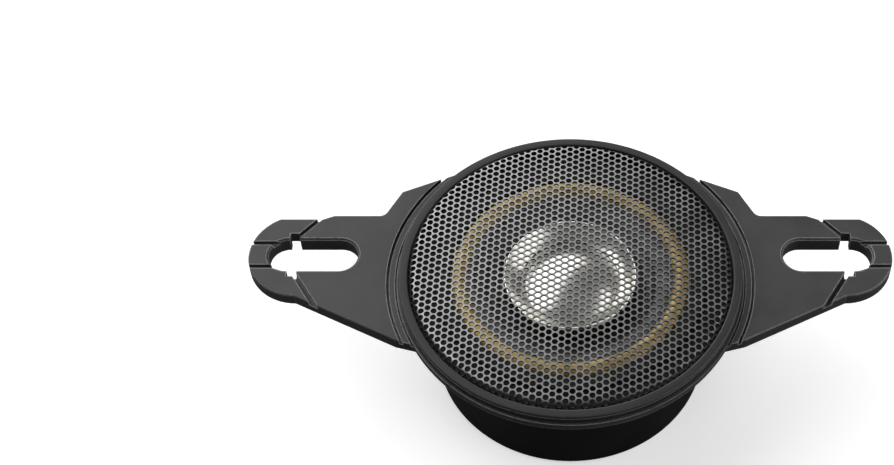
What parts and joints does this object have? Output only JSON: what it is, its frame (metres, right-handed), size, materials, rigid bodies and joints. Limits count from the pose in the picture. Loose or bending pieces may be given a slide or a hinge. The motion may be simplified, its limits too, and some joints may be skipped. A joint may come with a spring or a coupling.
{
  "type": "coaxial car speaker",
  "caption": "Small round coaxial car speaker with a domed perforated grille, gold surround, metal dome tweeter and slotted mounting ears on a dark moulded frame.",
  "frame": {"origin": "on the speaker's axis at the rear cover's back face", "axes": "+X along the two ears, +Z along the axis in the direction of the sound, +Y to the side that the slots are offset to"},
  "size_m": [0.1404, 0.075, 0.0319],
  "materials": {
    "moulded_plastic": "fine moulded grain",
    "ring_plastic": "satin",
    "mesh_paint": "dark metallic paint",
    "roll_gold": "gold-brown satin",
    "cone_paper": "pressed fibre",
    "gasket_foam": "closed-cell foam",
    "cover_plastic": "soft sheen",
    "plated_steel": "zinc plated",
    "screw_steel": "black oxide",
    "ferrite": "ground ferrite",
    "kapton": "amber film",
    "copper_wire": "enamelled copper",
    "spider_cloth": "resin-treated weave",
    "neodymium": "nickel plated",
    "dome_metal": "satin anodised",
    "waveguide_metal": "satin",
    "edge_film": "soft film",
    "block_plastic": "satin",
    "tab_brass": "tinned",
    "lead_sleeve": "insulation",
    "tinsel_braid": "braided copper",
    "capacitor_film": "sleeve"
  },
  "bodies": {
    "chassis": {"frame": "moulded_plastic", "grille_ring": "ring_plastic", "grille_mesh": "mesh_paint", "cone_gasket": "gasket_foam", "top_plate": "plated_steel", "magnet": "ferrite", "yoke": "plated_steel", "frame_screws": "screw_steel", "rear_cover": "cover_plastic", "cover_screws": "screw_steel", "cover_pad": "gasket_foam", "mounting_gasket": "gasket_foam", "tweeter_post": "plated_steel", "post_nut": "plated_steel", "tweeter_cup": "plated_steel", "tweeter_magnet": "neodymium", "tweeter_plate": "plated_steel", "tweeter_holder": "block_plastic", "tweeter_waveguide": "waveguide_metal", "terminal_block": "block_plastic", "positive_tab": "tab_brass", "negative_tab": "tab_brass", "tweeter_leads": "lead_sleeve", "crossover_capacitor": "capacitor_film", "capacitor_leads": "plated_steel"},
    "cone_assembly": {"cone": "cone_paper", "voice_coil_former": "kapton", "voice_coil_winding": "copper_wire", "surround": "roll_gold", "spider": "spider_cloth", "tinsel_leads": "tinsel_braid"},
    "tweeter_diaphragm": {"tweeter_dome": "dome_metal", "tweeter_former": "kapton", "tweeter_winding": "copper_wire", "dome_edge": "edge_film"}
  },
  "joints": [
    {"name": "cone_travel", "type": "slide", "parent": "chassis", "child": "cone_assembly", "axis": [0, 0, 1], "range_m": [-0.0012, 0.0012], "stiffness_N_per_m": 1000, "deforming": ["surround", "spider", "tinsel_leads"]},
    {"name": "dome_travel", "type": "slide", "parent": "chassis", "child": "tweeter_diaphragm", "axis": [0, 0, 1], "range_m": [-0.00025, 0.00025], "stiffness_N_per_m": 2000, "deforming": ["dome_edge"]}
  ]
}
